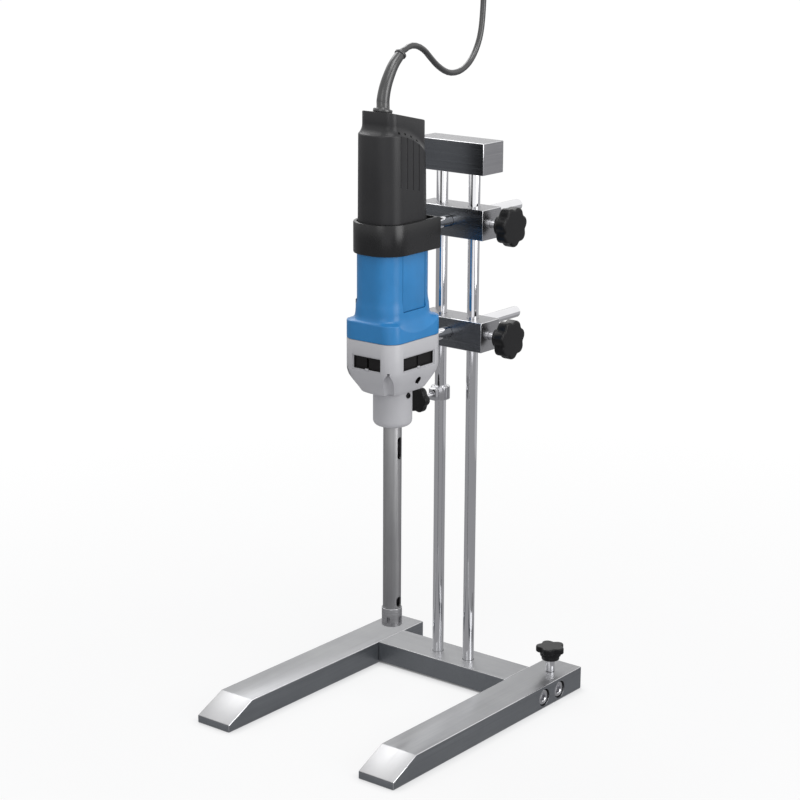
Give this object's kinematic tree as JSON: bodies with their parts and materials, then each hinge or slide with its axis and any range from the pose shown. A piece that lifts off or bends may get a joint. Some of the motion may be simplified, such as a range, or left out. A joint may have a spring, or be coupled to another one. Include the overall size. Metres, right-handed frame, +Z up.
{
  "type": "rotor stator homogenizer",
  "caption": "Bench rotor stator homogenizer: motor unit in a ring clamp on rods, sliding on a twin-column stand with open front legs, long slotted tool below.",
  "frame": {"origin": "on the bench surface under the middle of the stand's footprint, measured without the free mains lead and its plug", "axes": "+Z up along the columns, -Y to the user along the legs, +X to the side with the star knobs"},
  "size_m": [0.256, 0.3708, 0.8253],
  "materials": {
    "satin_steel": "satin ground steel",
    "chrome": "polished",
    "dark_steel": "dark satin with blurred reflections",
    "tool_steel": "satin stainless steel",
    "black_plastic": "matt black moulding",
    "knob_plastic": "matt black moulding",
    "blue_plastic": "satin blue moulding",
    "grey_plastic": "light grey die casting, painted",
    "rubber": "soft black",
    "copper": "turned copper",
    "lamination": "dull iron",
    "carbon": "dull carbon",
    "bush_plastic": "natural white",
    "board": "green laminate"
  },
  "bodies": {
    "stand": {"left_leg": "satin_steel", "right_leg": "satin_steel", "crossbar": "satin_steel", "leg_screw_left_front": "chrome", "leg_screw_left_rear": "chrome", "leg_screw_right_front": "chrome", "leg_screw_right_rear": "chrome", "left_column": "chrome", "right_column": "chrome", "top_bar": "dark_steel"},
    "levelling_screw": {"base_knob": "knob_plastic", "base_knob_stud": "chrome"},
    "collar": {"stop_collar": "chrome"},
    "stop_screw": {"stop_knob": "knob_plastic", "stop_knob_stud": "chrome"},
    "carriage": {"upper_block": "dark_steel", "lower_block": "dark_steel", "upper_set_screw": "lamination", "lower_set_screw": "lamination"},
    "upper_clamp_screw": {"upper_knob": "knob_plastic", "upper_knob_stud": "chrome"},
    "lower_clamp_screw": {"lower_knob": "knob_plastic", "lower_knob_stud": "chrome"},
    "head": {"upper_rod": "chrome", "lower_rod": "chrome", "ring_clamp": "black_plastic", "rear_housing": "black_plastic", "control_board": "board", "grip_housing": "blue_plastic", "right_panel": "blue_plastic", "switch_panel": "blue_plastic", "nose_housing": "grey_plastic", "vent_grille_front": "black_plastic", "vent_grille_left": "black_plastic", "vent_grille_right": "black_plastic", "nose_screw_left_front": "black_plastic", "nose_screw_left_rear": "black_plastic", "nose_screw_right_front": "black_plastic", "nose_screw_right_rear": "black_plastic", "neck": "grey_plastic", "lock_screw": "knob_plastic", "work_tube": "tool_steel", "tube_bush": "bush_plastic", "stator_head": "tool_steel", "field_core": "lamination", "brush_left": "carbon", "brush_right": "carbon", "lower_bearing": "chrome", "upper_bearing": "chrome", "strain_relief": "rubber", "mains_lead": "rubber", "mains_plug": "rubber"},
    "drive": {"motor_shaft": "chrome", "armature_core": "lamination", "commutator": "copper", "cooling_fan": "bush_plastic", "coupling": "chrome", "rotor_shaft": "tool_steel", "rotor": "tool_steel"},
    "switch": {"switch_slider": "knob_plastic"}
  },
  "joints": [
    {"name": "levelling_turn", "type": "hinge", "parent": "stand", "child": "levelling_screw", "pos_m": [0.108, 0.1072, 0.0375], "axis": [0, 0, 1], "range_deg": [-360, 360]},
    {"name": "collar_slide", "type": "slide", "parent": "stand", "child": "collar", "axis": [0, 0, 1], "range_m": [-0.27, 0]},
    {"name": "stop_turn", "type": "hinge", "parent": "collar", "child": "stop_screw", "pos_m": [-0.0204, 0.0487, 0.3145], "axis": [0, -1, 0], "range_deg": [0, 360]},
    {"name": "carriage_slide", "type": "slide", "parent": "stand", "child": "carriage", "axis": [0, 0, 1], "range_m": [-0.045, 0.033]},
    {"name": "upper_clamp_turn", "type": "hinge", "parent": "carriage", "child": "upper_clamp_screw", "pos_m": [0.0524, 0.0792, 0.5007], "axis": [1, 0, 0], "range_deg": [0, 360]},
    {"name": "lower_clamp_turn", "type": "hinge", "parent": "carriage", "child": "lower_clamp_screw", "pos_m": [0.0524, 0.0792, 0.3844], "axis": [1, 0, 0], "range_deg": [0, 360]},
    {"name": "head_slide", "type": "slide", "parent": "carriage", "child": "head", "axis": [0, 1, 0], "range_m": [-0.085, 0.018]},
    {"name": "drive_spin", "type": "hinge", "parent": "head", "child": "drive", "pos_m": [0, -0.0273, 0.093], "axis": [0, 0, 1], "continuous": true},
    {"name": "switch_slide", "type": "slide", "parent": "head", "child": "switch", "axis": [0, 0, 1], "range_m": [0, 0.008]}
  ]
}
